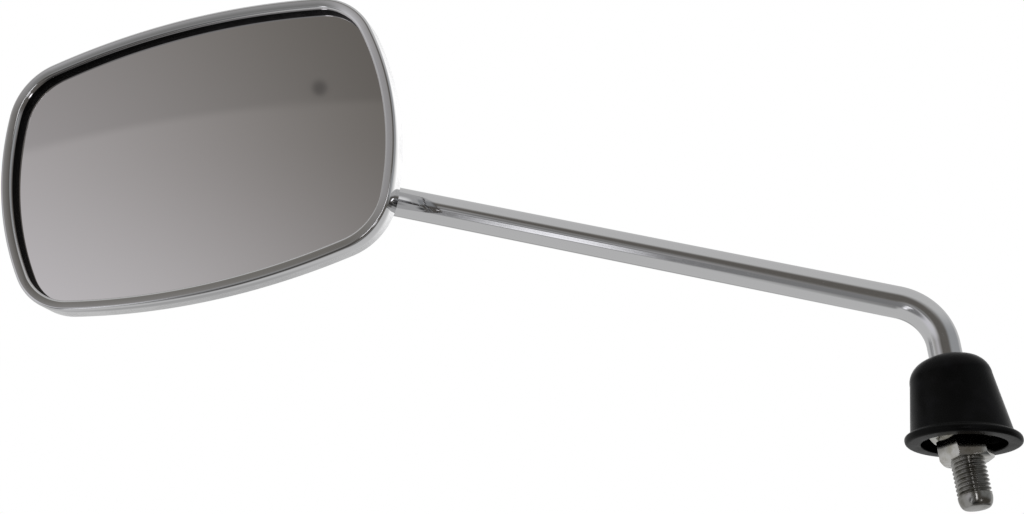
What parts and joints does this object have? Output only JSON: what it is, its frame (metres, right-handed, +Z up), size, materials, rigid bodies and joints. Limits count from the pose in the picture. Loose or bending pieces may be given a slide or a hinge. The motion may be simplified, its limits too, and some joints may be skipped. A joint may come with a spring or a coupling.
{
  "type": "motorcycle mirror",
  "caption": "Left-hand rear-view mirror for a motorbike: oblong chromed head on a ball clamp, bent round arm, rubber boot over a swivelling threaded stem.",
  "frame": {"origin": "on the stud's axis, at the shoulder under the adapter's hex, where it seats on the bracket", "axes": "+Z up the stud and the foot of the arm, -X along the arm's lean towards the head, -Y the way the glass faces"},
  "size_m": [0.318, 0.052, 0.2009],
  "materials": {
    "chrome_rim": "bright chrome on pressed steel, polished",
    "chrome_housing": "bright chrome on pressed steel",
    "chrome_rod": "bright chrome on drawn steel rod",
    "chrome_clamp": "bright chrome on die-cast zinc",
    "zinc_steel": "zinc-plated machined steel",
    "plain_steel": "plain steel, lightly oiled",
    "polished_steel": "polished steel ball",
    "boot_rubber": "moulded black rubber, satin",
    "gasket_rubber": "extruded black rubber",
    "silvered_glass": "flat silvered glass",
    "fibre_pad": "grey fibre sheet",
    "black_plastic": "black moulded plastic",
    "white_nylon": "natural nylon"
  },
  "bodies": {
    "base": {"stem_adapter": "zinc_steel", "lower_washer": "white_nylon", "upper_washer": "white_nylon", "lock_nut": "zinc_steel"},
    "arm": {"arm_rod": "chrome_rod", "arm_ball": "polished_steel"},
    "boot": {"rubber_boot": "boot_rubber"},
    "front_cup": {"front_liner": "white_nylon"},
    "rear_cup": {"rear_liner": "white_nylon"},
    "head": {"socket_base": "chrome_clamp", "socket_cap": "chrome_clamp", "clamp_screws": "zinc_steel", "spring_washers": "zinc_steel", "weld_nuts": "plain_steel", "backing_plate": "plain_steel", "housing_shell": "chrome_housing", "rim_bezel": "chrome_rim", "glass_gasket": "gasket_rubber", "mirror_glass": "silvered_glass", "backing_pad": "fibre_pad", "glass_tray": "black_plastic"}
  },
  "joints": [
    {"name": "arm_swivel", "type": "hinge", "parent": "base", "child": "arm", "pos_m": [0, 0, 0], "axis": [0, 0, 1], "continuous": true},
    {"name": "boot_slide", "type": "slide", "parent": "arm", "child": "boot", "axis": [0, 0, 1], "range_m": [-0.005, 0.0035]},
    {"name": "head_turn", "type": "hinge", "parent": "arm", "child": "front_cup", "pos_m": [-0.21698, 0, 0.13939], "axis": [-0.0339, -0.1077, 0.9936], "range_deg": [-15, 5]},
    {"name": "head_tilt", "type": "hinge", "parent": "front_cup", "child": "rear_cup", "pos_m": [-0.21698, 0, 0.13939], "axis": [0.9994, -0.0106, 0.033], "range_deg": [-10, 8]},
    {"name": "head_roll", "type": "hinge", "parent": "rear_cup", "child": "head", "pos_m": [-0.21698, 0, 0.13939], "axis": [-0.0069, -0.9941, -0.108], "range_deg": [-8, 8]}
  ]
}
